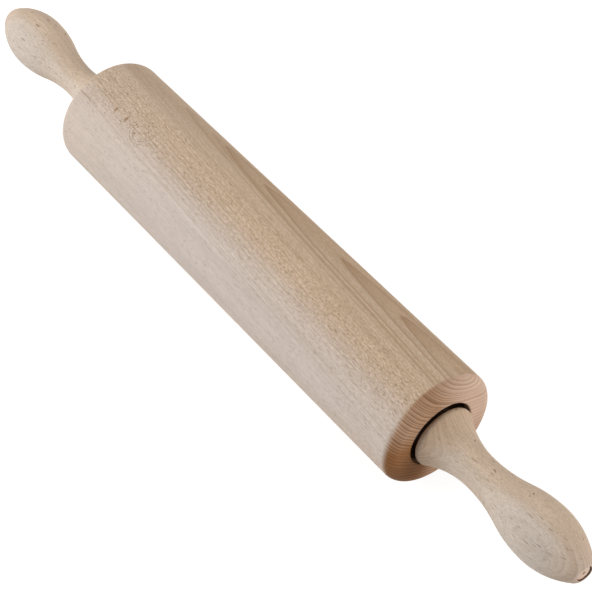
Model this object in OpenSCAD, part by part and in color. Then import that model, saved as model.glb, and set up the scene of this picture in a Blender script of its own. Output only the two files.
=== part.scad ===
// Wooden rolling pin with a free-turning roller and two turned handles.
// The pin lies along X, +Z is up, and the origin is the middle of its axis.
// A steel rod joins the handles, and the roller turns on it in flanged bushes.

/* [Roller] */
// Diameter of the roller
roller_d = 60; // [54:1:80]
// Length of the roller between its end faces
roller_len = 265; // [180:1:350]
// Rounding of the roller's outer edges
roller_edge_r = 5.5; // [1:0.5:8]
// Depth of the recess in each end face
recess_depth = 12; // [8:0.5:20]
// Gap all round between the handle's heel and the recess wall
recess_gap = 1.3; // [1:0.1:3]
// Chamfer around the mouth of the recess
recess_chamfer = 0.5; // [0.2:0.1:1]
// Diameter of the bore between the bushes
core_bore_d = 10; // [9:0.5:11]

/* [Bushes] */
// Diameter of the bush's sleeve, which is pressed into the roller
bush_d = 14; // [12:0.5:18]
// Length of the bush's sleeve
bush_len = 14; // [8:0.5:30]
// Diameter of the bush's flange
bush_flange_d = 24; // [20:0.5:28]
// Thickness of the bush's flange
bush_flange_t = 2; // [1:0.25:3]
// Rounding of the flange's outer edge
bush_flange_r = 0.5; // [0.2:0.1:0.5]
// Chamfer at the inner end of the sleeve
bush_chamfer = 0.8; // [0.3:0.1:1.5]
// Running clearance all round between rod and bush
bush_clearance = 0.05; // [0.02:0.01:0.1]
// Free depth of the bush's seat past the sleeve
seat_relief = 1; // [0.5:0.25:3]

/* [Rod and washers] */
// Diameter of the steel rod
rod_d = 6; // [5:0.25:7]
// Chamfer at both ends of the rod
rod_chamfer = 0.6; // [0.2:0.1:1]
// Free space between the rod's end and the end plug
rod_end_gap = 1; // [0.5:0.25:4]
// Outer diameter of the washer
washer_d = 16; // [12:0.5:17]
// Thickness of the washer
washer_t = 1; // [0.5:0.1:2]
// Clearance all round between rod and washer
washer_clearance = 0.15; // [0.1:0.05:0.3]
// Free play between each washer and the bush's flange
end_play = 0.3; // [0.2:0.05:0.6]

/* [Handles] */
// Length of the handle from the roller's face to its tip
handle_len = 92.5; // [86:0.5:110]
// Largest diameter of the heel
heel_d = 31.6; // [26:0.2:34]
// Rounding of the heel's edge
heel_round = 2.5; // [1.5:0.25:3.5]
// How far the heel's back stands inside the recess
heel_reach = 0.5; // [0:0.1:2]
// Diameter of the neck
neck_d = 17.3; // [14:0.1:20]
// Distance of the neck from the roller's face
neck_x = 26.5; // [22:0.5:32]
// Largest diameter of the bulb
bulb_d = 29.4; // [25:0.2:34]
// Distance of the bulb's crest from the roller's face
bulb_x = 66.5; // [58:0.5:72]
// Share of the swell from neck to bulb that still curves inwards
swell_share = 0.54; // [0.35:0.01:0.7]
// Rounding of the tip
tip_round = 5.6; // [4:0.1:7]
// Diameter of the flat end that the rounding would leave
tip_flat_d = 4.6; // [3:0.1:6]
// Diameter of the nose that reaches down to the washer
nose_d = 18; // [17:0.5:20]
// Fillet between the nose and the heel's back
nose_fillet = 1.5; // [0.5:0.25:2]
// Chamfer around the nose's end
nose_chamfer = 0.6; // [0.3:0.1:1]

/* [End plugs] */
// Diameter of the plug
plug_d = 8; // [7:0.5:10]
// Length of the plug
plug_len = 12; // [6:0.5:20]
// Depth of the plug's face below the handle's tip
plug_recess = 1; // [0.5:0.1:2]
// Chamfer around the plug's inner end
plug_chamfer = 0.5; // [0.2:0.1:1]
// Diameter of the turning centre's mark in the plug
mark_d = 2; // [1:0.1:3]
// Depth of that mark
mark_depth = 1; // [0.5:0.1:2]

/* [Hidden] */
$fn = 128;
arc_step = 5;
cut_over = 1;

beech = [0.80, 0.70, 0.60];
pale_beech = [0.86, 0.76, 0.66];
steel = [0.70, 0.71, 0.73];
nylon = [0.14, 0.13, 0.12];

roller_r = roller_d / 2;
face_x = roller_len / 2;
heel_r = heel_d / 2;
neck_r = neck_d / 2;
bulb_r = bulb_d / 2;
recess_r = heel_r + recess_gap;
seat_depth = bush_len + seat_relief;

// Along the axis, measured outwards from the roller's face
flange_z = -recess_depth;
washer_z = flange_z + bush_flange_t + end_play;
nose_z = washer_z + washer_t;
heel_back_z = -heel_reach;
heel_crest_z = heel_back_z + heel_round;
plug_z = handle_len - plug_recess - plug_len;
rod_half_len = face_x + plug_z - rod_end_gap;

// Points of an arc from one angle to another, both ends included
function arc(centre, radius, from, to) =
    let (steps = ceil(abs(to - from) / arc_step))
    [for (i = [0:steps]) let (a = from + (to - from) * i / steps)
        centre + radius * [cos(a), sin(a)]];

// The turned outline is a chain of tangent arcs, as [radius, distance from the face].
// The cove meets the rounding of the heel and lies level at the neck.
cove_run = neck_x - heel_crest_z;
cove_rise = heel_r - heel_round - neck_r;
cove_radius = (cove_run ^ 2 + cove_rise ^ 2 - heel_round ^ 2) / (2 * (heel_round + cove_rise));
cove_centre = [neck_r + cove_radius, neck_x];
heel_centre = [heel_r - heel_round, heel_crest_z];
cove_angle = atan2(cove_run, cove_centre[0] - heel_centre[0]);

// The swell runs from the neck to the bulb's crest in two arcs that share a tangent.
swell_run = bulb_x - neck_x;
swell_rise = bulb_r - neck_r;
swell_radii = (swell_run ^ 2 + swell_rise ^ 2) / (2 * swell_rise);
swell_in_radius = swell_share * swell_radii;
swell_out_radius = swell_radii - swell_in_radius;
swell_angle = asin(swell_run / swell_radii);

// The crown runs from the crest into the rounding of the tip.
tip_centre = [tip_flat_d / 2, handle_len - tip_round];
crown_run = tip_centre[1] - bulb_x;
crown_drop = bulb_r - tip_centre[0];
crown_radius = (crown_run ^ 2 + crown_drop ^ 2 - tip_round ^ 2) / (2 * (crown_drop - tip_round));
crown_centre = [bulb_r - crown_radius, bulb_x];
crown_angle = atan2(crown_run, tip_centre[0] - crown_centre[0]);

handle_outline = concat(
    [[0, nose_z], [nose_d / 2 - nose_chamfer, nose_z]],
    [[nose_d / 2, nose_z + nose_chamfer]],
    arc([nose_d / 2 + nose_fillet, heel_back_z - nose_fillet], nose_fillet, 180, 90),
    arc(heel_centre, heel_round, -90, cove_angle),
    arc(cove_centre, cove_radius, 180 + cove_angle, 180),
    arc([neck_r + swell_in_radius, neck_x], swell_in_radius, 180, 180 - swell_angle),
    arc([bulb_r - swell_out_radius, bulb_x], swell_out_radius, -swell_angle, 0),
    arc(crown_centre, crown_radius, 0, crown_angle),
    arc(tip_centre, tip_round, crown_angle, 90),
    [[0, handle_len]]
);

// One half of the roller's section, from the bush's seat round to the straight side
roller_half = concat(
    [[core_bore_d / 2, face_x - recess_depth - seat_depth]],
    [[bush_d / 2, face_x - recess_depth - seat_depth]],
    [[bush_d / 2, face_x - recess_depth], [recess_r, face_x - recess_depth]],
    [[recess_r, face_x - recess_chamfer], [recess_r + recess_chamfer, face_x]],
    arc([roller_r - roller_edge_r, face_x - roller_edge_r], roller_edge_r, 90, 0)
);
roller_points = len(roller_half);
roller_outline = concat(
    roller_half,
    [for (i = [roller_points - 1:-1:0]) [roller_half[i][0], -roller_half[i][1]]]
);

bush_outline = [
    [rod_d / 2 + bush_clearance, -bush_len],
    [bush_d / 2 - bush_chamfer, -bush_len],
    [bush_d / 2, -bush_len + bush_chamfer],
    [bush_d / 2, 0],
    [bush_flange_d / 2, 0],
    each arc([bush_flange_d / 2 - bush_flange_r, bush_flange_t - bush_flange_r],
        bush_flange_r, 0, 90),
    [rod_d / 2 + bush_clearance, bush_flange_t]
];

rod_outline = [
    [0, -rod_half_len],
    [rod_d / 2 - rod_chamfer, -rod_half_len],
    [rod_d / 2, -rod_half_len + rod_chamfer],
    [rod_d / 2, rod_half_len - rod_chamfer],
    [rod_d / 2 - rod_chamfer, rod_half_len],
    [0, rod_half_len]
];

plug_outline = [
    [0, 0],
    [plug_d / 2 - plug_chamfer, 0],
    [plug_d / 2, plug_chamfer],
    [plug_d / 2, plug_len],
    [mark_d / 2, plug_len],
    [0, plug_len - mark_depth]
];

// Turns an outline around the pin's axis
module turned(outline) {
    rotate([0, 90, 0]) rotate_extrude() polygon(outline);
}

// Places a piece at the right face of the roller, and its mirror image at the left
module at_right(distance = 0) {
    translate([face_x + distance, 0, 0]) children();
}

module at_left(distance = 0) {
    mirror([1, 0, 0]) at_right(distance) children();
}

module handle() {
    difference() {
        turned(handle_outline);
        translate([nose_z - cut_over, 0, 0]) rotate([0, 90, 0])
            cylinder(d = rod_d, h = plug_z - nose_z + 2 * cut_over);
        translate([plug_z, 0, 0]) rotate([0, 90, 0])
            cylinder(d = plug_d, h = plug_len + plug_recess + cut_over);
    }
}

module bush() {
    turned(bush_outline);
}

module washer() {
    rotate([0, 90, 0]) difference() {
        cylinder(d = washer_d, h = washer_t);
        translate([0, 0, -cut_over])
            cylinder(d = rod_d + 2 * washer_clearance, h = washer_t + 2 * cut_over);
    }
}

module end_plug() {
    turned(plug_outline);
}

module roller() { color(beech) turned(roller_outline); }
module left_bush() { color(nylon) at_left(flange_z) bush(); }
module right_bush() { color(nylon) at_right(flange_z) bush(); }
module axle_rod() { color(steel) turned(rod_outline); }
module left_washer() { color(steel) at_left(washer_z) washer(); }
module right_washer() { color(steel) at_right(washer_z) washer(); }
module left_handle() { color(beech) at_left() handle(); }
module right_handle() { color(beech) at_right() handle(); }
module left_end_plug() { color(pale_beech) at_left(plug_z) end_plug(); }
module right_end_plug() { color(pale_beech) at_right(plug_z) end_plug(); }

roller();
left_bush();
right_bush();
axle_rod();
left_washer();
right_washer();
left_handle();
right_handle();
left_end_plug();
right_end_plug();
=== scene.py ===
import math
from functools import partial
from types import SimpleNamespace

import bpy
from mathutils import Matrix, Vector


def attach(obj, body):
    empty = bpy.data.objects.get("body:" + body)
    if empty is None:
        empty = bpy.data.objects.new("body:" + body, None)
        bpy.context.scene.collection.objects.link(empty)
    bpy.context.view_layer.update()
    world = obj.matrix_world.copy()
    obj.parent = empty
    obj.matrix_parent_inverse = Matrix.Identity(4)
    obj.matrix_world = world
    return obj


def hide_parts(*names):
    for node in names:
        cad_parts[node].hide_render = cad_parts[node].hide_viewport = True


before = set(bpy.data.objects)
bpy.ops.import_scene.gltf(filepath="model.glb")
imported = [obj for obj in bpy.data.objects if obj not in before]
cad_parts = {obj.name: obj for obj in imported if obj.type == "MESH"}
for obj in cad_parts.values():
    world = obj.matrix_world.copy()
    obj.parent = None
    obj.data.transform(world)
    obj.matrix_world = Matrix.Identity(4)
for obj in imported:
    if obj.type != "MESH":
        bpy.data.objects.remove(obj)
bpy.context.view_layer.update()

mm = 0.001


def addObject(name, data):
    made = bpy.data.objects.new(name, data)
    bpy.context.scene.collection.objects.link(made)
    return made


view = {
    "place": (0.50397, -0.36201, 0.65935),  # metres, about 48 degrees above the table
    "target": (0.02033, 0.00513, -0.01184),
    "lens": 115.5,
    "clip": (0.01, 30),
}

cameraData = bpy.data.cameras.new("camera")
cameraData.lens = view["lens"]
cameraData.clip_start, cameraData.clip_end = view["clip"]
camera = addObject("camera", cameraData)
camera.location = view["place"]
camera.rotation_euler = (Vector(view["target"]) - camera.location).to_track_quat("-Z", "Y").to_euler()
bpy.context.scene.camera = camera
print("camera placed")


def linear(hexText):
    # sRGB hex to the linear RGBA that a socket wants
    parts = [int(hexText[i:i + 2], 16) / 255 for i in (1, 3, 5)]
    return (*[p / 12.92 if p <= 0.04045 else ((p + 0.055) / 1.055) ** 2.4 for p in parts], 1.0)


def addNode(tree, kind, inputs=None, **settings):
    # A node with its settings. An input has a name or a number, and it gets a plain value, a socket,
    # or a node, whose first output in use is meant.
    node = tree.nodes.new(kind)
    for name, value in settings.items():
        setattr(node, name, value)
    for name, value in (inputs or {}).items():
        if isinstance(name, int):
            socket = node.inputs[name]
        else:
            socket = next(s for s in node.inputs if s.enabled and s.name == name)
        if isinstance(value, bpy.types.Node):
            value = next(s for s in value.outputs if s.enabled)
        if isinstance(value, bpy.types.NodeSocket):
            tree.links.new(value, socket)
        else:
            socket.default_value = value
    return node


def span(ends, side="From"):
    # Both ends of a range, as the inputs of a Map Range node
    return {side + " Min": ends[0], side + " Max": ends[1]}


def setStops(ramp, stops):
    # The stops of a colour ramp from low to high, each a place and a colour
    for where, _ in stops[1:-1]:
        ramp.color_ramp.elements.new(where)
    for element, (where, colour) in zip(ramp.color_ramp.elements, stops):
        element.position, element.color = where, colour


def emptyTree(holder):
    # The node tree of a material or a world, cleared
    holder.use_nodes = True
    holder.node_tree.nodes.clear()
    return holder.node_tree


def arcPoints(centre, radius, start, end, step):
    # An arc in degrees, both ends included
    count = max(2, math.ceil(abs(end - start) / step))
    angles = [math.radians(start + (end - start) * i / count) for i in range(count + 1)]
    return [(centre[0] + radius * math.cos(a), centre[1] + radius * math.sin(a)) for a in angles]


def fineOutline(points, closed, step, guard=0.2):
    # Divides straight runs, with an extra point close to each end so that shading stays crisp
    made = []
    following = points[1:] + points[:1] if closed else points[1:]
    for a, b in zip(points, following):
        run = math.dist(a, b)
        shares = [0.0]
        if run > 3 * guard:
            inner = max(1, round((run - 2 * guard) / step))
            shares += [(guard + (run - 2 * guard) * i / inner) / run for i in range(inner + 1)]
        made += [(a[0] + (b[0] - a[0]) * s, a[1] + (b[1] - a[1]) * s) for s in shares]
    return made if closed else made + [points[-1]]


# The outlines are in mm, each point a radius and a distance along the axis. A bend is a point that
# softens a corner, given by how far across it lies and how far below the face.
rollerShape = {
    "radius": 30.0, "halfLength": 132.5, "edge": 5.5, "edgeStep": 5,
    "recessRadius": 17.1, "recessDepth": 12.0, "recessCorner": 0.4,
    "mouthChamfer": 0.5, "mouthBend": (0.15, 0.3),
    "seatRadius": 7.0, "seatDepth": 15.0, "coreRadius": 5.0,
    "trim": 0.03,  # the cut that leaves the finished skin just inside the solid's box
}


def rollerOutline(s):
    face, chamfer, corner = s["halfLength"] - s["trim"], s["mouthChamfer"], s["recessCorner"]
    bendOut, bendIn = s["mouthBend"]
    floor = s["halfLength"] - s["recessDepth"]
    half = [(s["coreRadius"], floor - s["seatDepth"]), (s["seatRadius"], floor - s["seatDepth"]),
            (s["seatRadius"], floor), (s["recessRadius"] - corner, floor),
            (s["recessRadius"], floor + corner), (s["recessRadius"], face - chamfer),
            (s["recessRadius"] + bendOut, face - bendIn), (s["recessRadius"] + chamfer, face)]
    edgeCentre = (s["radius"] - s["trim"] - s["edge"], face - s["edge"])
    half += arcPoints(edgeCentre, s["edge"], 90, 0, s["edgeStep"])
    return half + [(r, -x) for r, x in reversed(half)]


handleShape = {
    "length": 92.5, "heel": 15.8, "heelRound": 2.5, "heelReach": 0.5,
    "neck": 8.65, "neckPlace": 26.5, "bulb": 14.7, "bulbPlace": 66.5, "swellShare": 0.54,
    "tipRound": 5.6, "tipFlat": 2.3,
    "nose": 9.0, "noseEnd": -8.7, "noseChamfer": 0.6, "noseFillet": 1.5,
    "rodHole": 3.0, "plugHole": 4.0, "plugHoleEnd": 79.5, "holeRound": 0.35, "holeBend": (0.1, 0.12),
    "arcSteps": (15, 8, 2, 1.5, 1.5, 3, 5),  # degrees between points, from the nose's fillet to the tip
    "samePlace": 0.001,
}


def handleOutline(s):
    # The same chain of tangent arcs as the solid, closed through the rod's and the plug's holes
    heelCentre = (s["heel"] - s["heelRound"], s["heelRound"] - s["heelReach"])
    run, rise = s["neckPlace"] - heelCentre[1], s["heel"] - s["heelRound"] - s["neck"]
    cove = (run ** 2 + rise ** 2 - s["heelRound"] ** 2) / (2 * (s["heelRound"] + rise))
    coveAngle = math.degrees(math.atan2(run, s["neck"] + cove - heelCentre[0]))
    run, rise = s["bulbPlace"] - s["neckPlace"], s["bulb"] - s["neck"]
    radii = (run ** 2 + rise ** 2) / (2 * rise)
    swellIn, swellOut = s["swellShare"] * radii, (1 - s["swellShare"]) * radii
    swellAngle = math.degrees(math.asin(run / radii))
    tip = (s["tipFlat"], s["length"] - s["tipRound"])
    run, drop = tip[1] - s["bulbPlace"], s["bulb"] - tip[0]
    crown = (run ** 2 + drop ** 2 - s["tipRound"] ** 2) / (2 * (drop - s["tipRound"]))
    crownAngle = math.degrees(math.atan2(run, tip[0] - (s["bulb"] - crown)))
    mouthAngle = math.degrees(math.acos((s["plugHole"] + s["holeRound"] - tip[0]) / s["tipRound"]))
    mouth = tip[1] + s["tipRound"] * math.sin(math.radians(mouthAngle))
    noseCentre = (s["nose"] + s["noseFillet"], -s["heelReach"] - s["noseFillet"])
    arcs = ((noseCentre, s["noseFillet"], 180, 90),
            (heelCentre, s["heelRound"], -90, coveAngle),
            ((s["neck"] + cove, s["neckPlace"]), cove, 180 + coveAngle, 180),
            ((s["neck"] + swellIn, s["neckPlace"]), swellIn, 180, 180 - swellAngle),
            ((s["bulb"] - swellOut, s["bulbPlace"]), swellOut, -swellAngle, 0),
            ((s["bulb"] - crown, s["bulbPlace"]), crown, 0, crownAngle),
            (tip, s["tipRound"], crownAngle, mouthAngle))

    points = [(s["rodHole"], s["noseEnd"]), (s["nose"] - s["noseChamfer"], s["noseEnd"]),
              (s["nose"], s["noseEnd"] + s["noseChamfer"])]
    for arc, step in zip(arcs, s["arcSteps"]):
        made = arcPoints(*arc, step)
        sharesPoint = math.dist(made[0], points[-1]) < s["samePlace"]
        points += made[1:] if sharesPoint else made
    bendOut, bendIn = s["holeBend"]
    points += [(s["plugHole"] + bendOut, mouth - bendIn), (s["plugHole"], mouth - s["holeRound"]),
               (s["plugHole"], s["plugHoleEnd"]), (s["rodHole"], s["plugHoleEnd"])]
    return points


plugShape = {
    "radius": 4.0, "inner": 79.5, "face": 91.5, "innerChamfer": 0.5, "taper": 0.3, "taperLength": 2.5,
    "faceChamfer": 0.35, "bend": (0.1, 0.15),
    "mark": 1.0, "markDepth": 1.0, "markTip": 0.25,  # the small pit that the turning centre leaves
    "aside": (-0.15, 0.1),
}


def plugOutline(s):
    tip = s["radius"] - s["taper"]
    bendOut, bendIn = s["bend"]
    return [(0.0, s["inner"]), (s["radius"] - s["innerChamfer"], s["inner"]),
            (s["radius"], s["inner"] + s["innerChamfer"]), (s["radius"], s["face"] - s["taperLength"]),
            (tip, s["face"] - s["faceChamfer"]), (tip - bendOut, s["face"] - bendIn),
            (tip - s["faceChamfer"], s["face"]), (s["mark"] + bendOut, s["face"]),
            (s["mark"] - bendOut, s["face"] - bendIn),
            (s["markTip"], s["face"] - s["markDepth"] + bendOut), (0.0, s["face"] - s["markDepth"])]


def leanPlug(plug, s, start):
    # The slim end of the plug leans to one side of its hole
    taperFrom = start + s["face"] - s["taperLength"]
    for point in plug.data.vertices:
        lean = min(1.0, max(0.0, (abs(point.co.x) / mm - taperFrom) / s["taperLength"]))
        point.co.y += lean * s["aside"][0] * mm
        point.co.z += lean * s["aside"][1] * mm


latheFinish = {
    "rippleScale": 0.35, "rippleDetail": 1.0,  # a ripple is nearly three ripple lengths long
    "ovalChanges": 9.0, "ovalScale": 0.9,  # the oval changes about this often in a metre
    "cutFrom": 0.0045, "cutFull": 0.008,  # radii in metres: nothing is cut in the holes and bores
    "mergeWithin": 0.000002,
}


def latheTree(s):
    # Turns an outline about the X axis
    tree = bpy.data.node_groups.new("latheTurning", "GeometryNodeTree")
    face = tree.interface
    face.new_socket("Outline", in_out="INPUT", socket_type="NodeSocketGeometry")
    for name, kind, value in (("Steps around", "NodeSocketInt", 128),
                              ("Ripple depth", "NodeSocketFloat", 0.0),
                              ("Ripple length", "NodeSocketFloat", 0.004),
                              ("Out of round", "NodeSocketFloat", 0.0),
                              ("Seed", "NodeSocketFloat", 0.0),
                              ("Wood", "NodeSocketMaterial", None)):
        socket = face.new_socket(name, in_out="INPUT", socket_type=kind)
        if value is not None:
            socket.default_value = value
    face.new_socket("Piece", in_out="OUTPUT", socket_type="NodeSocketGeometry")

    # a grid with a row for each point of the outline and a column for each step around
    node = partial(addNode, tree)
    given = node("NodeGroupInput").outputs
    count = node("GeometryNodeAttributeDomainSize", {"Geometry": given["Outline"]}).outputs["Point Count"]
    columns = node("ShaderNodeMath", {0: given["Steps around"], 1: 1}, operation="ADD")
    grid = node("GeometryNodeMeshGrid", {"Vertices X": columns, "Vertices Y": count})
    index = node("GeometryNodeInputIndex")
    share = node("ShaderNodeMath", {0: index, 1: count}, operation="DIVIDE")
    column = node("ShaderNodeMath", {0: share}, operation="FLOOR")
    row = node("ShaderNodeMath", {0: index, 1: count}, operation="MODULO")
    point = node("GeometryNodeSampleIndex",
                 {"Geometry": given["Outline"], "Value": node("GeometryNodeInputPosition"), "Index": row},
                 data_type="FLOAT_VECTOR", domain="POINT")
    along = node("ShaderNodeSeparateXYZ", {0: point}).outputs
    turn = node("ShaderNodeMath", {0: column, 1: given["Steps around"]}, operation="DIVIDE")
    angle = node("ShaderNodeMath", {0: turn, 1: math.tau}, operation="MULTIPLY")
    cosine = node("ShaderNodeMath", {0: angle}, operation="COSINE")
    sine = node("ShaderNodeMath", {0: angle}, operation="SINE")

    # the tool leaves a faint ripple along the piece, and the wood dries a little out of round
    rippleX = node("ShaderNodeMath", {0: along["X"], 1: given["Ripple length"]}, operation="DIVIDE")
    rippleAt = node("ShaderNodeCombineXYZ", {0: rippleX, 1: cosine, 2: sine})
    ripple = node("ShaderNodeTexNoise", {"Vector": rippleAt, "W": given["Seed"], "Scale": s["rippleScale"],
                                         "Detail": s["rippleDetail"]}, noise_dimensions="4D")
    rippleCut = node("ShaderNodeMath", {0: ripple, 1: given["Ripple depth"]}, operation="MULTIPLY")
    ovalX = node("ShaderNodeMath", {0: along["X"], 1: s["ovalChanges"]}, operation="MULTIPLY")
    ovalAt = node("ShaderNodeCombineXYZ", {0: ovalX, 1: cosine, 2: sine})
    oval = node("ShaderNodeTexNoise", {"Vector": ovalAt, "W": given["Seed"], "Scale": s["ovalScale"],
                                       "Detail": 0.0}, noise_dimensions="4D")
    ovalCut = node("ShaderNodeMath", {0: oval, 1: given["Out of round"]}, operation="MULTIPLY")
    cut = node("ShaderNodeMath", {0: rippleCut, 1: ovalCut}, operation="ADD")
    outside = node("ShaderNodeMapRange", {"Value": along["Y"], "From Min": s["cutFrom"],
                                          "From Max": s["cutFull"]})
    cutHere = node("ShaderNodeMath", {0: cut, 1: outside}, operation="MULTIPLY")
    radius = node("ShaderNodeMath", {0: along["Y"], 1: cutHere}, operation="SUBTRACT")

    y = node("ShaderNodeMath", {0: radius, 1: cosine}, operation="MULTIPLY")
    z = node("ShaderNodeMath", {0: radius, 1: sine}, operation="MULTIPLY")
    place = node("ShaderNodeCombineXYZ", {0: along["X"], 1: y, 2: z})
    turned = node("GeometryNodeSetPosition", {"Geometry": grid, "Position": place})
    closed = node("GeometryNodeMergeByDistance", {"Geometry": turned, "Distance": s["mergeWithin"]})
    # the wood's end grain shows where the skin faces along the axis
    facing = node("ShaderNodeSeparateXYZ", {0: node("GeometryNodeInputNormal")}).outputs["X"]
    ends = node("ShaderNodeMath", {0: facing}, operation="ABSOLUTE")
    marked = node("GeometryNodeStoreNamedAttribute",
                  {"Geometry": closed, "Name": "endGrain", "Value": ends},
                  data_type="FLOAT", domain="POINT")
    smooth = node("GeometryNodeSetShadeSmooth", {"Geometry": marked})
    real = node("GeometryNodeRealizeInstances", {"Geometry": smooth})
    painted = node("GeometryNodeSetMaterial", {"Geometry": real, "Material": given["Wood"]})
    node("NodeGroupOutput", {"Piece": painted})
    return tree


def turnPiece(name, outline, sign, closed, lathe, tree, material):
    # Along +X or, with sign -1, mirrored along -X
    points = fineOutline(outline, closed, lathe["step"])
    if closed:
        points = points + points[:1]
    if sign > 0:
        points = points[::-1]
    mesh = bpy.data.meshes.new(name + "Outline")
    mesh.from_pydata([(sign * x * mm, r * mm, 0) for r, x in points],
                     [(i, i + 1) for i in range(len(points) - 1)], [])
    maker = addObject(name + "Outline", mesh)
    turning = maker.modifiers.new("turning", "NODES")
    turning.node_group = tree
    values = {"Steps around": lathe["around"], "Ripple depth": lathe["ripple"] * mm,
              "Ripple length": lathe["rippleLength"] * mm, "Out of round": lathe["oval"] * mm,
              "Seed": lathe["seed"], "Wood": material}
    for socket in tree.interface.items_tree:
        if socket.in_out == "INPUT" and socket.name in values:
            turning[socket.identifier] = values[socket.name]
    evaluated = maker.evaluated_get(bpy.context.evaluated_depsgraph_get())
    finished = bpy.data.meshes.new_from_object(evaluated)
    maker.modifiers.remove(turning)
    bpy.data.objects.remove(maker)
    finished.name = name
    finished.materials.clear()
    finished.materials.append(material)
    finished.polygons.foreach_set("material_index", [0] * len(finished.polygons))
    print(name, "turned,", len(finished.polygons), "faces")
    return addObject(name, finished)


def inCells(tree, source, size):
    # Coordinates counted in cells of the given size, in the source's own units
    perCell = [1 / s for s in size]
    return addNode(tree, "ShaderNodeVectorMath", {0: source, 1: perCell}, operation="MULTIPLY")


def edgeLines(tree, wood, source, places, fade):
    # At each place in mm a sharp dark edge, with a tone before it that fades over some mm
    roomBefore, roomAfter = wood["edgeRoom"]
    low, high = min(places, default=0) - roomBefore, max(places, default=0) + roomAfter
    share = addNode(tree, "ShaderNodeMapRange", {"Value": source, "From Min": low, "From Max": high})
    profile = [(fade * before, dark) for before, dark in wood["edgeFade"]]
    profile += [(wood["edgeWidth"], 1.0), (0.0, 0.0)]
    stops = [(0.0, (0, 0, 0, 1))]
    stops += [((place - before - low) / (high - low), (dark, dark, dark, 1))
              for place in places for before, dark in profile]
    ramp = addNode(tree, "ShaderNodeValToRGB", {"Fac": share})
    setStops(ramp, stops + [(1.0, (0, 0, 0, 1))])
    return ramp


def beechGrain(tree, wood):
    # What runs through the wood: growth rings, rays, fibres and pores, along the log's own axes
    node = partial(addNode, tree)
    cells = partial(inCells, tree)
    place = node("ShaderNodeTexCoord").outputs["Object"]
    spot = node("ShaderNodeVectorMath", {0: place, "Scale": 1 / mm}, operation="SCALE")  # in mm
    along = node("ShaderNodeSeparateXYZ", {0: spot}).outputs["X"]
    outwards = node("ShaderNodeMath", {0: along}, operation="ABSOLUTE")
    # the log that the piece was cut from: its pith lies beside the piece, a little askew
    askew = [math.radians(a) for a in wood["askew"]]
    log = node("ShaderNodeMapping", {"Vector": spot, "Location": (0, *wood["pith"]), "Rotation": askew},
               vector_type="TEXTURE")
    axes = node("ShaderNodeSeparateXYZ", {0: log}).outputs
    flat = node("ShaderNodeCombineXYZ", {0: axes["Y"], 1: axes["Z"]})
    toPith = node("ShaderNodeVectorMath", {0: flat}, operation="LENGTH")
    bearing = node("ShaderNodeMath", {0: axes["Z"], 1: axes["Y"]}, operation="ARCTAN2")
    pithAway = math.dist(wood["pith"], (0, 0))
    aroundPith = node("ShaderNodeMath", {0: bearing, 1: pithAway}, operation="MULTIPLY")
    waver = node("ShaderNodeTexNoise", {"Vector": cells(log, wood["waverCell"]), "Scale": 1.0,
                                        "Detail": 2.0})
    ringAt = node("ShaderNodeMath", {0: waver, 1: wood["waver"], 2: toPith}, operation="MULTIPLY_ADD")

    # growth rings of uneven width: each darkens slowly to its late wood, then starts again at once
    years = node("ShaderNodeMath", {0: ringAt, 1: 1 / wood["ringWidth"]}, operation="MULTIPLY")
    uneven = node("ShaderNodeTexNoise", {"W": years, "Scale": wood["unevenYears"], "Detail": 1.0},
                  noise_dimensions="1D")
    shift = node("ShaderNodeMath", {0: uneven, 1: wood["unevenBy"], 2: wood["ringPhase"]},
                 operation="MULTIPLY_ADD")
    year = node("ShaderNodeMath", {0: years, 1: shift}, operation="ADD")
    season = node("ShaderNodeMath", {0: year}, operation="FRACT")
    lateWood = node("ShaderNodeValToRGB", {"Fac": season})
    setStops(lateWood, [(where, (dark, dark, dark, 1)) for where, dark in wood["seasonTones"]])

    # rays: thin plates that stand radially, cut to spindle shaped dashes on the side; drawn about
    # twice as thick as real so that they show
    cylinder = node("ShaderNodeCombineXYZ", {0: axes["X"], 1: toPith, 2: aroundPith})
    rays = node("ShaderNodeTexVoronoi", {"Vector": cells(cylinder, wood["rayCell"]), "Scale": 1.0}).outputs
    luck = node("ShaderNodeSeparateColor", {0: rays["Color"]}).outputs
    rayReach = node("ShaderNodeMapRange", {"Value": luck[0], "To Min": wood["rayLeast"],
                                           "To Max": wood["rayMost"]})
    rayInside = node("ShaderNodeMath", {0: rayReach, 1: rays["Distance"]}, operation="SUBTRACT")
    rayShare = node("ShaderNodeMapRange", {"Value": rayInside, **span(wood["rayEdge"])},
                    interpolation_type="SMOOTHSTEP")

    # fibres and vessels, drawn about three times as coarse as real so that they show
    fibres = node("ShaderNodeTexNoise", {"Vector": cells(log, wood["fibreCell"]), "Scale": 1.0,
                                         "Detail": 3.0, "Roughness": 0.65})
    fibreValue = node("ShaderNodeMapRange", {"Value": fibres, **span(wood["fibreSpan"]),
                                             "To Min": 1 - wood["fibre"], "To Max": 1 + wood["fibre"]})
    pores = node("ShaderNodeTexNoise", {"Vector": cells(log, wood["poreCell"]), "Scale": 1.0,
                                        "Detail": 1.0})
    poreShare = node("ShaderNodeMapRange", {"Value": pores, **span(wood["poreSpan"])},
                     interpolation_type="SMOOTHSTEP")
    broad = node("ShaderNodeTexNoise", {"Vector": cells(log, wood["streakCell"]), "Scale": 1.0,
                                        "Detail": 3.0})
    return SimpleNamespace(spot=spot, along=along, outwards=outwards, log=log, waver=waver, ringAt=ringAt,
                           years=years, lateWood=lateWood, luck=luck, rayShare=rayShare, fibres=fibres,
                           fibreValue=fibreValue, poreShare=poreShare, broad=broad)


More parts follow.
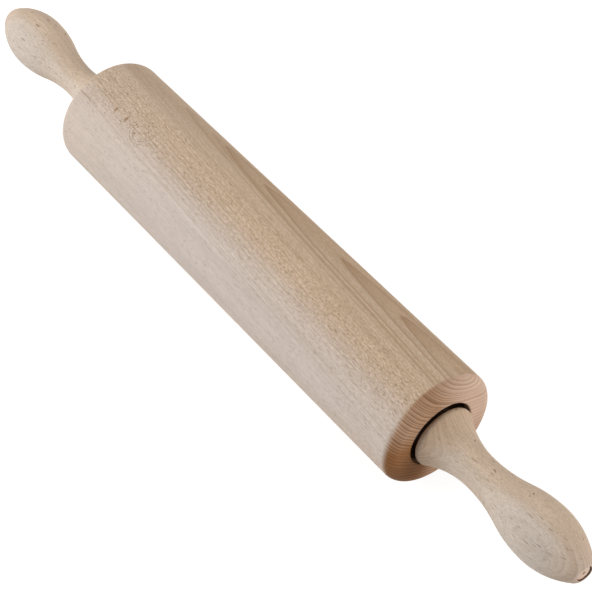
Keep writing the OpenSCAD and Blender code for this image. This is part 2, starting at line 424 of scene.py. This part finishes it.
def beechSide(tree, wood, grain):
    # The long grain: its colour, and the share of the paler side
    node = partial(addNode, tree)
    cells = partial(inCells, tree)
    # one side of the piece, toward the key lamp, is paler and cooler: partly wood figure, partly painted
    # cool light on that side. Its border is ragged and speckled along the grain
    side = node("ShaderNodeVectorMath", {0: grain.spot, 1: wood["paleLitToward"]}, operation="DOT_PRODUCT")
    uneven = node("ShaderNodeMath", {0: grain.fibres, 1: grain.broad}, operation="ADD")
    # painted warm bounce light and shade: near the roller's face the pale side gives way to tan
    heel = node("ShaderNodeMapRange", {"Value": grain.outwards, **span(wood["heelBounceSpan"]),
                                       "To Max": -wood["heelBounceTan"]})
    ragged = node("ShaderNodeMath", {0: uneven, 1: wood["ragged"], 2: heel}, operation="MULTIPLY_ADD")
    border = node("ShaderNodeMath", {0: side, 1: ragged}, operation="ADD")
    paleLitSide = node("ShaderNodeMapRange", {"Value": border, **span(wood["paleLitSpan"])},
                interpolation_type="SMOOTHSTEP")
    # painted shade: a darker, richer tone along the side that faces away from the key lamp
    deepSide = node("ShaderNodeVectorMath", {0: grain.spot, 1: wood["deepShadeToward"]}, operation="DOT_PRODUCT")
    deepShade = node("ShaderNodeMapRange", {"Value": deepSide, **span(wood["deepShadeSpan"])},
                interpolation_type="SMOOTHSTEP")
    warm = node("ShaderNodeMix", {"Factor": deepShade, "A": linear(wood["tan"]), "B": linear(wood["deepShade"])},
                data_type="RGBA")
    # towards the far end the two sides differ less
    far = node("ShaderNodeMapRange", {"Value": grain.along, **span(wood["farSpan"]),
                                      "To Max": wood["farAlike"]})
    fromMean = node("ShaderNodeMath", {0: 0.5, 1: paleLitSide}, operation="SUBTRACT")
    paleLitShare = node("ShaderNodeMath", {0: fromMean, 1: far, 2: paleLitSide}, operation="MULTIPLY_ADD")
    body = node("ShaderNodeMix", {"Factor": paleLitShare, "A": warm, "B": linear(wood["paleLitSide"])},
                data_type="RGBA")
    streakValue = node("ShaderNodeMapRange", {"Value": grain.broad, **span(wood["noiseSpan"]),
                                              "To Min": 1 - wood["streak"], "To Max": 1 + wood["streak"]})
    streaked = node("ShaderNodeHueSaturation", {"Color": body, "Value": streakValue})
    fibred = node("ShaderNodeHueSaturation", {"Color": streaked, "Value": grain.fibreValue})

    # specks, strongest near the border; the darker they are, the richer
    specks = node("ShaderNodeTexNoise", {"Vector": cells(grain.log, wood["speckCell"]), "Scale": 1.0,
                                         "Detail": 1.0})
    start, full, fade, end = wood["speckBand"]
    bandIn = node("ShaderNodeMapRange", {"Value": side, "From Min": start, "From Max": full})
    bandOut = node("ShaderNodeMapRange", {"Value": side, "From Min": end, "From Max": fade})
    nearBorder = node("ShaderNodeMath", {0: bandIn, 1: bandOut}, operation="MULTIPLY")
    speckBase = node("ShaderNodeMapRange", {"Value": paleLitSide, "To Min": wood["speck"],
                                            "To Max": wood["speckOnPale"]})
    speckMost = node("ShaderNodeMath", {0: nearBorder, 1: wood["speckNear"], 2: speckBase},
                     operation="MULTIPLY_ADD")
    speckOff = node("ShaderNodeMath", {0: specks, 1: 0.5}, operation="SUBTRACT")
    speckBy = node("ShaderNodeMath", {0: speckOff, 1: speckMost, 2: 1.0}, operation="MULTIPLY_ADD")
    speckRich = node("ShaderNodeMapRange", {"Value": speckBy, **span(wood["speckTone"]),
                                            **span(wood["speckRich"], "To")})
    specked = node("ShaderNodeHueSaturation", {"Color": fibred, "Value": speckBy, "Saturation": speckRich})

    # some years are strong and others faint, and all fade on the pale side, where they are cut square
    good = node("ShaderNodeTexNoise", {"W": grain.years, "Scale": wood["goodYears"], "Detail": 0.0},
                noise_dimensions="1D")
    ringBreak = node("ShaderNodeMapRange", {"Value": good, **span(wood["goodSpan"]),
                                            "To Min": wood["faintYear"] * wood["ring"],
                                            "To Max": wood["ring"]})
    ringFade = node("ShaderNodeMapRange", {"Value": paleLitSide, "To Min": 1.0, "To Max": wood["ringOnPale"]})
    ringMost = node("ShaderNodeMath", {0: ringBreak, 1: ringFade}, operation="MULTIPLY")
    usual = node("ShaderNodeMath", {0: grain.lateWood, 1: ringMost}, operation="MULTIPLY")
    # a few years, given by their distance from the pith, stand out
    strong = edgeLines(tree, wood, grain.ringAt, wood["strongYears"], wood["strongFade"])
    strongBy = node("ShaderNodeMath", {0: strong, 1: wood["strong"]}, operation="MULTIPLY")
    strongHere = node("ShaderNodeMath", {0: strongBy, 1: ringFade}, operation="MULTIPLY")
    # on the pale side two years run aslant as faint lines
    slant = node("ShaderNodeVectorMath", {0: grain.spot, 1: wood["slantToward"]}, operation="DOT_PRODUCT")
    slantAt = node("ShaderNodeMath", {0: grain.waver, 1: wood["waver"], 2: slant}, operation="MULTIPLY_ADD")
    slanted = edgeLines(tree, wood, slantAt, wood["slantYears"], wood["slantFade"])
    slantBy = node("ShaderNodeMath", {0: slanted, 1: wood["slant"]}, operation="MULTIPLY")
    slantHere = node("ShaderNodeMath", {0: slantBy, 1: paleLitSide}, operation="MULTIPLY")
    ringShare = node("ShaderNodeMath", {0: usual, 1: strongHere}, operation="MAXIMUM")
    ringedAll = node("ShaderNodeMath", {0: ringShare, 1: slantHere}, operation="MAXIMUM")
    ringed = node("ShaderNodeMix", {"Factor": ringedAll, "A": specked, "B": linear(wood["late"])},
                  data_type="RGBA")

    rayStrength = node("ShaderNodeMapRange", {"Value": grain.luck[1],
                                              "To Min": wood["faintRay"] * wood["ray"],
                                              "To Max": wood["ray"]})
    rayHere = node("ShaderNodeMath", {0: grain.rayShare, 1: rayStrength}, operation="MULTIPLY")
    rayed = node("ShaderNodeMix", {"Factor": rayHere, "A": ringed, "B": linear(wood["rayColour"])},
                 data_type="RGBA")
    poreMost = node("ShaderNodeMath", {0: nearBorder, 1: wood["poreNear"], 2: wood["pore"]},
                    operation="MULTIPLY_ADD")
    poreHere = node("ShaderNodeMath", {0: grain.poreShare, 1: poreMost}, operation="MULTIPLY")
    pored = node("ShaderNodeMix", {"Factor": poreHere, "A": rayed, "B": linear(wood["poreColour"])},
                 data_type="RGBA")
    return pored, paleLitSide


def beechEnds(tree, wood, grain, paleLitSide):
    # End grain soaks up light: redder and darker, with stronger rings. It is darkest on one side, which on
    # the roller's face is painted shade where the handle's shadow falls
    node = partial(addNode, tree)
    marked = node("ShaderNodeAttribute", attribute_name="endGrain").outputs["Fac"]
    leftKept = node("ShaderNodeMapRange", {"Value": grain.along, "From Min": 1.0, "From Max": -1.0,
                                           "To Max": wood["leftKept"]})
    ends = node("ShaderNodeMath", {0: marked, 1: leftKept}, operation="SUBTRACT")
    # under the pale side it comes in slowly over the rounded edge, elsewhere at once
    endTo = node("ShaderNodeMapRange", {"Value": paleLitSide, "To Min": wood["endTo"],
                                        "To Max": wood["endToPale"]})
    endShare = node("ShaderNodeMapRange", {"Value": ends, "From Min": wood["endFrom"], "From Max": endTo,
                                           "To Max": wood["endMost"]}, interpolation_type="SMOOTHSTEP")
    if wood["endToward"][0]:  # its tone follows the distance from the middle
        endPlace = node("ShaderNodeVectorMath", {0: grain.spot}, operation="ABSOLUTE")
    else:  # or the direction around the axis
        across = node("ShaderNodeVectorMath", {0: grain.spot, 1: (0, 1, 1)}, operation="MULTIPLY")
        endPlace = node("ShaderNodeVectorMath", {0: across}, operation="NORMALIZE")
    endSide = node("ShaderNodeVectorMath", {0: endPlace, 1: wood["endToward"]}, operation="DOT_PRODUCT")
    endTone = node("ShaderNodeMapRange", {"Value": endSide, **span(wood["endSpan"])})
    endBody, endLate = (node("ShaderNodeValToRGB", {"Fac": endTone}) for _ in range(2))
    for ramp, tones in ((endBody, wood["endTones"]), (endLate, wood["endLateTones"])):
        setStops(ramp, [(where, linear(tone)) for where, tone in zip(wood["endAt"], tones)])
    endFibred = node("ShaderNodeHueSaturation", {"Color": endBody, "Value": grain.fibreValue})
    notPale = node("ShaderNodeMapRange", {"Value": paleLitSide, "To Min": wood["endRim"], "To Max": 0.0})
    rim = node("ShaderNodeMapRange", {"Value": ends, **span(wood["rimSpan"]), "To Max": notPale})
    endRings = node("ShaderNodeMath", {0: grain.lateWood, 1: wood["endRing"]}, operation="MULTIPLY")
    endRingShare = node("ShaderNodeMath", {0: endRings, 1: rim}, operation="MAXIMUM")
    endRinged = node("ShaderNodeMix", {"Factor": endRingShare, "A": endFibred, "B": endLate},
                     data_type="RGBA")
    endRays = node("ShaderNodeMath", {0: grain.rayShare, 1: wood["endRay"]}, operation="MULTIPLY")
    endRayed = node("ShaderNodeMix", {"Factor": endRays, "A": endRinged, "B": endLate}, data_type="RGBA")
    return endShare, endRayed


def paintedBoreShade(tree, wood, grain, colour):
    # Painted shade: the wood inside the bores and the recess is darkened to dark brown, and so is the
    # handle's end inside the recess, where little light reaches
    node = partial(addNode, tree)
    if wood["boreRadius"]:  # but not in the last millimetres before the face
        across = node("ShaderNodeVectorMath", {0: grain.spot, 1: (0, 1, 1)}, operation="MULTIPLY")
        fromAxis = node("ShaderNodeVectorMath", {0: across}, operation="LENGTH")
        boreShade = node("ShaderNodeMapRange", {"Value": fromAxis, "From Min": wood["boreRadius"],
                                            "From Max": wood["boreRadius"] - wood["boreEdge"],
                                            "To Max": wood["boreShadeMost"]})
        deepIn = node("ShaderNodeMapRange", {"Value": grain.outwards, "From Min": wood["boreTo"],
                                             "From Max": wood["boreTo"] - wood["boreFade"]})
        boreShade = node("ShaderNodeMath", {0: boreShade, 1: deepIn}, operation="MULTIPLY")
        colour = node("ShaderNodeMix", {"Factor": boreShade, "A": colour, "B": linear(wood["boreShadeColour"])},
                      data_type="RGBA")
    # painted shade: the handle's end inside the recess is darkened
    if wood["recessShadeTo"]:
        recessShade = node("ShaderNodeMapRange", {"Value": grain.outwards, "From Min": wood["recessShadeTo"],
                                             "From Max": wood["recessShadeTo"] - wood["recessShadeFade"],
                                             "To Max": wood["recessShadeMost"]})
        colour = node("ShaderNodeMix", {"Factor": recessShade, "A": colour, "B": linear(wood["recessShadeColour"])},
                      data_type="RGBA")
    return colour


def markedBeech(tree, wood, grain, colour):
    node = partial(addNode, tree)
    cells = partial(inCells, tree)
    # single brown marks: their middle, then length along the grain and width, in mm
    for x, y, z, length, width in wood["marks"]:
        off = node("ShaderNodeVectorMath", {0: grain.spot, 1: (x, y, z)}, operation="SUBTRACT")
        size = (length / 2, width / 2, width / 2)
        away = node("ShaderNodeVectorMath", {0: cells(off, size)}, operation="LENGTH")
        ragged = node("ShaderNodeMath", {0: grain.fibres, 1: wood["markRag"], 2: away},
                      operation="MULTIPLY_ADD")
        mark = node("ShaderNodeMapRange", {"Value": ragged, **span(wood["markEdge"]),
                                           "To Max": wood["markMost"]})
        colour = node("ShaderNodeMix", {"Factor": mark, "A": colour, "B": linear(wood["markColour"])},
                      data_type="RGBA")
    # where a twig once grew the grain curls round it: its middle, the curl's inner and outer reach
    # and the lines' spacing, in mm, then their strength
    for x, y, z, inner, outer, spacing, strength in wood["curls"]:
        off = node("ShaderNodeVectorMath", {0: grain.spot, 1: (x, y, z)}, operation="SUBTRACT")
        reach = node("ShaderNodeVectorMath", {0: cells(off, wood["curlStretch"])}, operation="LENGTH")
        patchy = node("ShaderNodeTexNoise", {"Vector": cells(grain.spot, wood["curlPatch"]), "Scale": 1.0,
                                             "Detail": 2.0})
        bent = node("ShaderNodeMath", {0: patchy, 1: wood["curlBend"], 2: reach}, operation="MULTIPLY_ADD")
        turn = node("ShaderNodeMath", {0: bent, 1: math.tau / spacing}, operation="MULTIPLY")
        lines = node("ShaderNodeMath", {0: turn}, operation="SINE")
        beyond = node("ShaderNodeMapRange", {"Value": reach, "From Min": inner - wood["curlRim"],
                                             "From Max": inner, "To Max": strength})
        within = node("ShaderNodeMapRange", {"Value": reach, "From Min": outer, "From Max": inner})
        kept = node("ShaderNodeMapRange", {"Value": patchy, **span(wood["curlKept"])})
        around = node("ShaderNodeMath", {0: beyond, 1: within}, operation="MULTIPLY")
        broken = node("ShaderNodeMath", {0: lines, 1: kept}, operation="MULTIPLY")
        curl = node("ShaderNodeMath", {0: around, 1: broken}, operation="MULTIPLY", use_clamp=True)
        colour = node("ShaderNodeMix", {"Factor": curl, "A": colour, "B": linear(wood["poreColour"])},
                      data_type="RGBA")
    return colour


def beechMaterial(name, wood):
    # Raw beech, turned and sanded: pale pinkish tan with close straight grain, growth rings as soft
    # darker bands, rays as short brown dashes along the grain, and redder, darker wood on the end grain.
    material = bpy.data.materials.new(name)
    tree = emptyTree(material)
    node = partial(addNode, tree)
    grain = beechGrain(tree, wood)
    sideColour, paleLitSide = beechSide(tree, wood, grain)
    endShare, endColour = beechEnds(tree, wood, grain, paleLitSide)
    colour = node("ShaderNodeMix", {"Factor": endShare, "A": sideColour, "B": endColour}, data_type="RGBA")
    colour = paintedBoreShade(tree, wood, grain, colour)
    colour = markedBeech(tree, wood, grain, colour)

    poreRelief = node("ShaderNodeMath", {0: grain.fibres, 1: grain.poreShare}, operation="SUBTRACT")
    relief = node("ShaderNodeMath", {0: grain.lateWood, 1: wood["ringRelief"], 2: poreRelief},
                  operation="MULTIPLY_ADD")
    bump = node("ShaderNodeBump", {"Strength": wood["bump"], "Distance": wood["bumpDepth"] * mm,
                                   "Height": relief})
    rough = node("ShaderNodeMapRange", {"Value": grain.fibres, **span(wood["noiseSpan"]),
                                        **span(wood["rough"], "To")})
    gloss = node("ShaderNodeMapRange", {"Value": endShare, "To Min": wood["gloss"],
                                        "To Max": wood["endGloss"]})
    shader = node("ShaderNodeBsdfPrincipled", {"Base Color": colour, "Roughness": rough, "Normal": bump,
                                               "IOR": 1.5, "Specular IOR Level": gloss})
    node("ShaderNodeOutputMaterial", {"Surface": shader})
    print(name, "mixed")
    return material


rollerWood = {
    # the log, in mm and degrees: where its pith lies, its turn, and how far the grain wanders
    "pith": (44, 67), "askew": (0, 0, -3.9), "waverCell": (70, 10, 10), "waver": 1.2,
    # growth rings: their width, how often in a year that width and their strength change, and how
    # dark each share of the year is
    "ringWidth": 1.55, "ringPhase": 0.3, "unevenYears": 0.37, "unevenBy": 1.5,
    "seasonTones": ((0.0, 0.1), (0.08, 0.0), (0.35, 0.2), (0.75, 0.7), (0.93, 1.0), (1.0, 0.1)),
    "ring": 0.42, "ringOnPale": 0.28, "goodYears": 0.8, "goodSpan": (0.35, 0.62), "faintYear": 0.25,
    "late": "#A07C56",
    "strongYears": (47.93, 49.13, 51.5, 52.71), "strongFade": 1.15, "strong": 0.9,
    "slantToward": (-0.0695, -0.629, -0.777), "slantYears": (-2.4, 0.8), "slantFade": 0.9, "slant": 0.5,
    "edgeFade": ((1.0, 0.0), (0.52, 0.3), (0.22, 0.6)),  # shares of the fade, each with its tone
    "edgeWidth": 0.07, "edgeRoom": (2, 1),  # mm, and the room before the first edge and after the last
    # rays, fibres, pores, specks and broad streaks: cells in mm, the span of the noise that counts,
    # and strengths
    "rayCell": (6.0, 12.0, 1.0), "rayLeast": -0.15, "rayMost": 0.26, "rayEdge": (-0.02, 0.09),
    "ray": 0.4, "faintRay": 0.4, "rayColour": "#9A7A5C",
    "fibreCell": (24.0, 0.6, 0.6), "fibreSpan": (0.25, 0.75), "fibre": 0.09,
    "poreCell": (3.0, 0.45, 0.45), "poreSpan": (0.63, 0.69), "pore": 0.35, "poreNear": 0.35,
    "poreColour": "#8F7052",
    "speckCell": (1.5, 0.42, 0.42), "speck": 0.7, "speckOnPale": 0.22, "speckNear": 0.45,
    "speckBand": (4.0, 14.0, 22.0, 29.0), "speckTone": (0.8, 1.2), "speckRich": (1.1, 0.85),
    "streakCell": (150, 6, 6), "streak": 0.05, "noiseSpan": (0.3, 0.7),
    # the pale side, partly painted cool light, and the deep one, painted shade, by mm from the axis in
    # their direction
    "paleLitToward": (-0.025, -0.966, 0.259), "paleLitSpan": (18.5, 35.5), "ragged": 5.0, "paleLitSide": "#CFC1B7",
    "heelBounceSpan": (150.0, 136.0), "heelBounceTan": 0, "farSpan": (-20.0, -130.0), "farAlike": 0.42,
    "deepShadeToward": (0, 0.643, 0.766), "deepShadeSpan": (27.3, 29.6), "deepShade": "#C0A07E", "tan": "#CCB093",
    # end grain, from its dark side to its light one: painted shade, darkest toward -Y and -Z where the
    # handle's shadow falls on the face
    "endToward": (0, 0.914, 0.407), "endSpan": (-1.09, 1.09), "endAt": (0.11, 0.26, 0.61, 0.93),
    "endTones": ("#9C6B3E", "#CAA586", "#C29A79", "#E9CAB2"),
    "endLateTones": ("#7A4C26", "#80583E", "#835B41", "#C29D84"),
    "endRing": 0.88, "endRay": 0.35, "endRim": 0.4, "rimSpan": (0.85, 0.3),
    "endFrom": 0.03, "endTo": 0.25, "endToPale": 0.75, "endMost": 1.0, "endGloss": 0.2,
    "leftKept": 0.55,  # at the left end only the flat face shows end grain
    # brown marks and curls in the grain
    "marks": ((-94.7, -11.9, 27.5, 1.7, 4.8), (-103.6, -12.0, 27.5, 1.6, 3.2),
              (-84.8, -14.0, 26.5, 2.0, 1.4), (-123.0, -16.6, 25.0, 17.0, 0.6)),
    "markColour": "#92683A", "markRag": 0.6, "markEdge": (1.5, 0.7), "markMost": 0.75,
    "curls": ((-82.0, -12.4, 27.3, 3.6, 9.5, 1.5, 0.8),),
    "curlStretch": (1.15, 1, 1), "curlPatch": (3, 3, 3), "curlBend": 1.5, "curlRim": 1,
    "curlKept": (0.4, 0.6),
    # painted shade in the bores, the recess and on the handle's end inside it, by mm from the axis and from
    # the middle
    "boreRadius": 17.4, "boreEdge": 0.15, "boreShadeMost": 0.9, "boreTo": 129.0, "boreFade": 1.0,
    "boreShadeColour": "#5A3A24",
    "recessShadeTo": 0, "recessShadeFade": 0.5, "recessShadeMost": 0.85, "recessShadeColour": "#4A3020",
    # the sanded surface
    "bump": 0.35, "bumpDepth": 0.12, "ringRelief": -0.4, "rough": (0.58, 0.7), "gloss": 0.5,
}

handleWood = dict(rollerWood, **{
    "pith": (-80, 45), "askew": (0, 1.0, 1.5), "ringWidth": 2.1, "ring": 0.2, "ringOnPale": 0.6,
    "strongYears": (), "slantYears": (),
    "rayCell": (5.5, 6.0, 0.85), "rayLeast": -0.06, "rayMost": 0.34, "ray": 0.75, "rayColour": "#84644A",
    "fibreCell": (10.0, 0.5, 0.5), "fibre": 0.1, "poreNear": 0.0,
    "speck": 0.5, "speckOnPale": 0.4, "speckNear": 0.0,
    # on the handle the pale side is partly painted cool light, and near the heel painted warm bounce light
    # from the roller keeps it tan
    "paleLitToward": (0, -0.966, 0.259), "paleLitSpan": (7.0, 18.0), "heelBounceTan": 8.0, "farAlike": 0.0,
    "tan": "#D3BAA0", "paleLitSide": "#D2C4B6", "deepShade": "#D3BBA4",
    "endToward": (1, 0, 0), "endSpan": (134.0, 225.0), "endAt": (0.06, 0.22, 0.61, 0.79),  # heel to tip
    "endTones": ("#E8C5A2", "#DDC1A5", "#D2B9A4", "#DAC3B0"),
    "endLateTones": ("#A88464", "#A07F64", "#A88870", "#A88870"),
    "endRing": 0.55, "endRim": 0.0, "endFrom": 0.2, "endTo": 0.8, "endToPale": 0.8, "endMost": 0.85,
    "endGloss": 0.25, "leftKept": 0, "marks": (), "curls": (),
    # painted shade in the whole hole round the plug
    "boreRadius": 4.15, "boreTo": 300,  # past the tip, so the whole bore
    # painted shade on the handle's end inside the recess
    "recessShadeTo": 133.2,
})

plugWood = dict(rollerWood, **{
    "pith": (20, -30), "askew": (0, 0, 0), "ringWidth": 1.5, "ring": 0.2,
    "strongYears": (), "slantYears": (), "leftKept": 0,
    "tan": "#E2C6B0", "paleLitSide": "#E2C6B0", "deepShade": "#E2C6B0",
    "endTones": ("#E6CAB4", "#E8CDB8", "#EAD0BC", "#EAD0BC"), "endLateTones": ("#C8A688",) * 4,
    "endRing": 0.3, "endRim": 0.0, "endFrom": 0.5, "endTo": 0.9, "endToPale": 0.9,
    "marks": ((223.6, 0, 0, 2.4, 1.8), (-223.6, 0, 0, 2.4, 1.8)), "markColour": "#6E452C",
    "curls": (), "boreRadius": 0,
})


lathe = latheTree(latheFinish)
rollerBeech = beechMaterial("turnedBeechRoller", rollerWood)
handleBeech = beechMaterial("turnedBeechHandle", handleWood)
plugBeech = beechMaterial("cutBeechPlug", plugWood)

rollerLathe = {"step": 2.0, "around": 192, "ripple": 0.03, "rippleLength": 4.0, "oval": 0.05, "seed": 3.0}
roller = turnPiece("rollerTurned", rollerOutline(rollerShape), 1, True, rollerLathe, lathe, rollerBeech)
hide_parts("roller")
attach(roller, "roller")

handleLathe = {"step": 1.0, "around": 128, "ripple": 0.08, "rippleLength": 3.5, "oval": 0.12}
plugLathe = {"step": 0.5, "around": 64, "ripple": 0.0, "rippleLength": 3.0, "oval": 0.0, "seed": 1.0}
face = rollerShape["halfLength"]
for side, sign, seed in (("right", 1, 7.0), ("left", -1, 12.0)):
    outline = [(r, face + x) for r, x in handleOutline(handleShape)]
    handle = turnPiece(side + "HandleTurned", outline, sign, True, dict(handleLathe, seed=seed), lathe,
                       handleBeech)
    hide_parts(side + "_handle")
    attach(handle, "handles")
    outline = [(r, face + x) for r, x in plugOutline(plugShape)]
    plug = turnPiece(side + "PlugTurned", outline, sign, False, plugLathe, lathe, plugBeech)
    leanPlug(plug, plugShape, face)
    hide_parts(side + "_end_plug")
    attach(plug, "handles")


rodSteel = {
    "scratch": (20.0, 0.2, 0.2),  # mm, several times as coarse as real so that it shows
    "dark": "#9A9B9D", "light": "#C8C9CB", "rough": (0.28, 0.42),
}


def steelMaterial(s):
    # Cold drawn steel rod: bright grey metal with fine scratches along its length
    material = bpy.data.materials.new("drawnSteel")
    tree = emptyTree(material)
    place = addNode(tree, "ShaderNodeTexCoord").outputs["Object"]
    drawn = inCells(tree, place, [size * mm for size in s["scratch"]])
    lines = addNode(tree, "ShaderNodeTexNoise", {"Vector": drawn, "Scale": 1.0, "Detail": 2.0})
    tone = addNode(tree, "ShaderNodeValToRGB", {"Fac": lines})
    setStops(tone, [(0.0, linear(s["dark"])), (1.0, linear(s["light"]))])
    rough = addNode(tree, "ShaderNodeMapRange", {"Value": lines, **span(s["rough"], "To")})
    shader = addNode(tree, "ShaderNodeBsdfPrincipled", {"Base Color": tone, "Roughness": rough,
                                                        "Metallic": 1.0})
    addNode(tree, "ShaderNodeOutputMaterial", {"Surface": shader})
    return material


bushNylon = {
    "cloud": 4.0,  # mm
    "dark": "#25221F", "light": "#302D2A", "rough": (0.6, 0.7),
}


def nylonMaterial(s):
    # Moulded black nylon: near black, satin, with slight clouding
    material = bpy.data.materials.new("mouldedNylon")
    tree = emptyTree(material)
    place = addNode(tree, "ShaderNodeTexCoord").outputs["Object"]
    cloud = addNode(tree, "ShaderNodeTexNoise", {"Vector": place, "Scale": 1 / (s["cloud"] * mm),
                                                 "Detail": 2.0})
    tone = addNode(tree, "ShaderNodeValToRGB", {"Fac": cloud})
    setStops(tone, [(0.0, linear(s["dark"])), (1.0, linear(s["light"]))])
    rough = addNode(tree, "ShaderNodeMapRange", {"Value": cloud, **span(s["rough"], "To")})
    shader = addNode(tree, "ShaderNodeBsdfPrincipled", {"Base Color": tone, "Roughness": rough,
                                                        "IOR": 1.53})
    addNode(tree, "ShaderNodeOutputMaterial", {"Surface": shader})
    return material


steel, nylon = steelMaterial(rodSteel), nylonMaterial(bushNylon)
for name, material in (("axle_rod", steel), ("left_washer", steel), ("right_washer", steel),
                       ("left_bush", nylon), ("right_bush", nylon)):
    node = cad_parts[name]
    node.data.materials.clear()
    node.data.materials.append(material)
print("rod, washers and bushes painted")


studio = {
    "floorSize": 3.2, "floorHeight": -0.0301,  # metres, a hair under the roller
    "floorTone": "#D8D8D8",
    "seenTone": "#A0A0A0", "seenGlow": 0.84,  # what the camera sees: a paper with little shadow left
    "world": 0.2,
    "lamps": (  # name, bearing from the front and height in degrees, size in metres, watts
        ("keyLamp", 330, 25, 0.9, 18.5),
        ("backLamp", 225, 45, 1.1, 7.6),
        ("endLamp", 115, 20, 0.6, 11.0),
    ),
    "lampDistance": 1.6,
}


def seenShare(tree):
    # 1 where the camera sees it, also as a reflection or through glass
    path = addNode(tree, "ShaderNodeLightPath").outputs
    seen = addNode(tree, "ShaderNodeMath", {0: path["Is Camera Ray"], 1: path["Is Glossy Ray"]},
                   operation="MAXIMUM")
    return addNode(tree, "ShaderNodeMath", {0: seen, 1: path["Is Transmission Ray"]}, operation="MAXIMUM")


def buildFloor(s):
    half, height = s["floorSize"] / 2, s["floorHeight"]
    mesh = bpy.data.meshes.new("floor")
    corners = ((-half, -half), (half, -half), (half, half), (-half, half))
    mesh.from_pydata([(x, y, height) for x, y in corners], [], [(0, 1, 2, 3)])
    floor = addObject("floor", mesh)
    material = bpy.data.materials.new("whitePaperSweep")
    tree = emptyTree(material)
    paper = addNode(tree, "ShaderNodeBsdfDiffuse", {"Color": linear(s["floorTone"])})
    seenPaper = addNode(tree, "ShaderNodeBsdfDiffuse", {"Color": linear(s["seenTone"])})
    glow = addNode(tree, "ShaderNodeEmission", {"Strength": s["seenGlow"]})
    both = addNode(tree, "ShaderNodeAddShader", {0: seenPaper, 1: glow})
    mixed = addNode(tree, "ShaderNodeMixShader", {0: seenShare(tree), 1: paper, 2: both})
    addNode(tree, "ShaderNodeOutputMaterial", {"Surface": mixed})
    mesh.materials.append(material)


def buildLight(s):
    world = bpy.data.worlds.new("studio")
    bpy.context.scene.world = world
    tree = emptyTree(world)
    level = addNode(tree, "ShaderNodeMapRange", {"Value": seenShare(tree), "To Min": s["world"],
                                                 "To Max": 1.0})
    sky = addNode(tree, "ShaderNodeBackground", {"Color": (1, 1, 1, 1), "Strength": level})
    addNode(tree, "ShaderNodeOutputWorld", {"Surface": sky})
    for name, bearing, height, size, energy in s["lamps"]:
        lampData = bpy.data.lights.new(name, "AREA")
        lampData.size, lampData.energy = size, energy
        lamp = addObject(name, lampData)
        turn, rise = math.radians(bearing), math.radians(height)
        across, up = s["lampDistance"] * math.cos(rise), s["lampDistance"] * math.sin(rise)
        lamp.location = (across * math.sin(turn), -across * math.cos(turn), up)
        lamp.rotation_euler = (-lamp.location).to_track_quat("-Z", "Y").to_euler()
        lamp.visible_camera = False


buildFloor(studio)
buildLight(studio)
bpy.context.scene.view_settings.view_transform = "Standard"
print("studio ready")
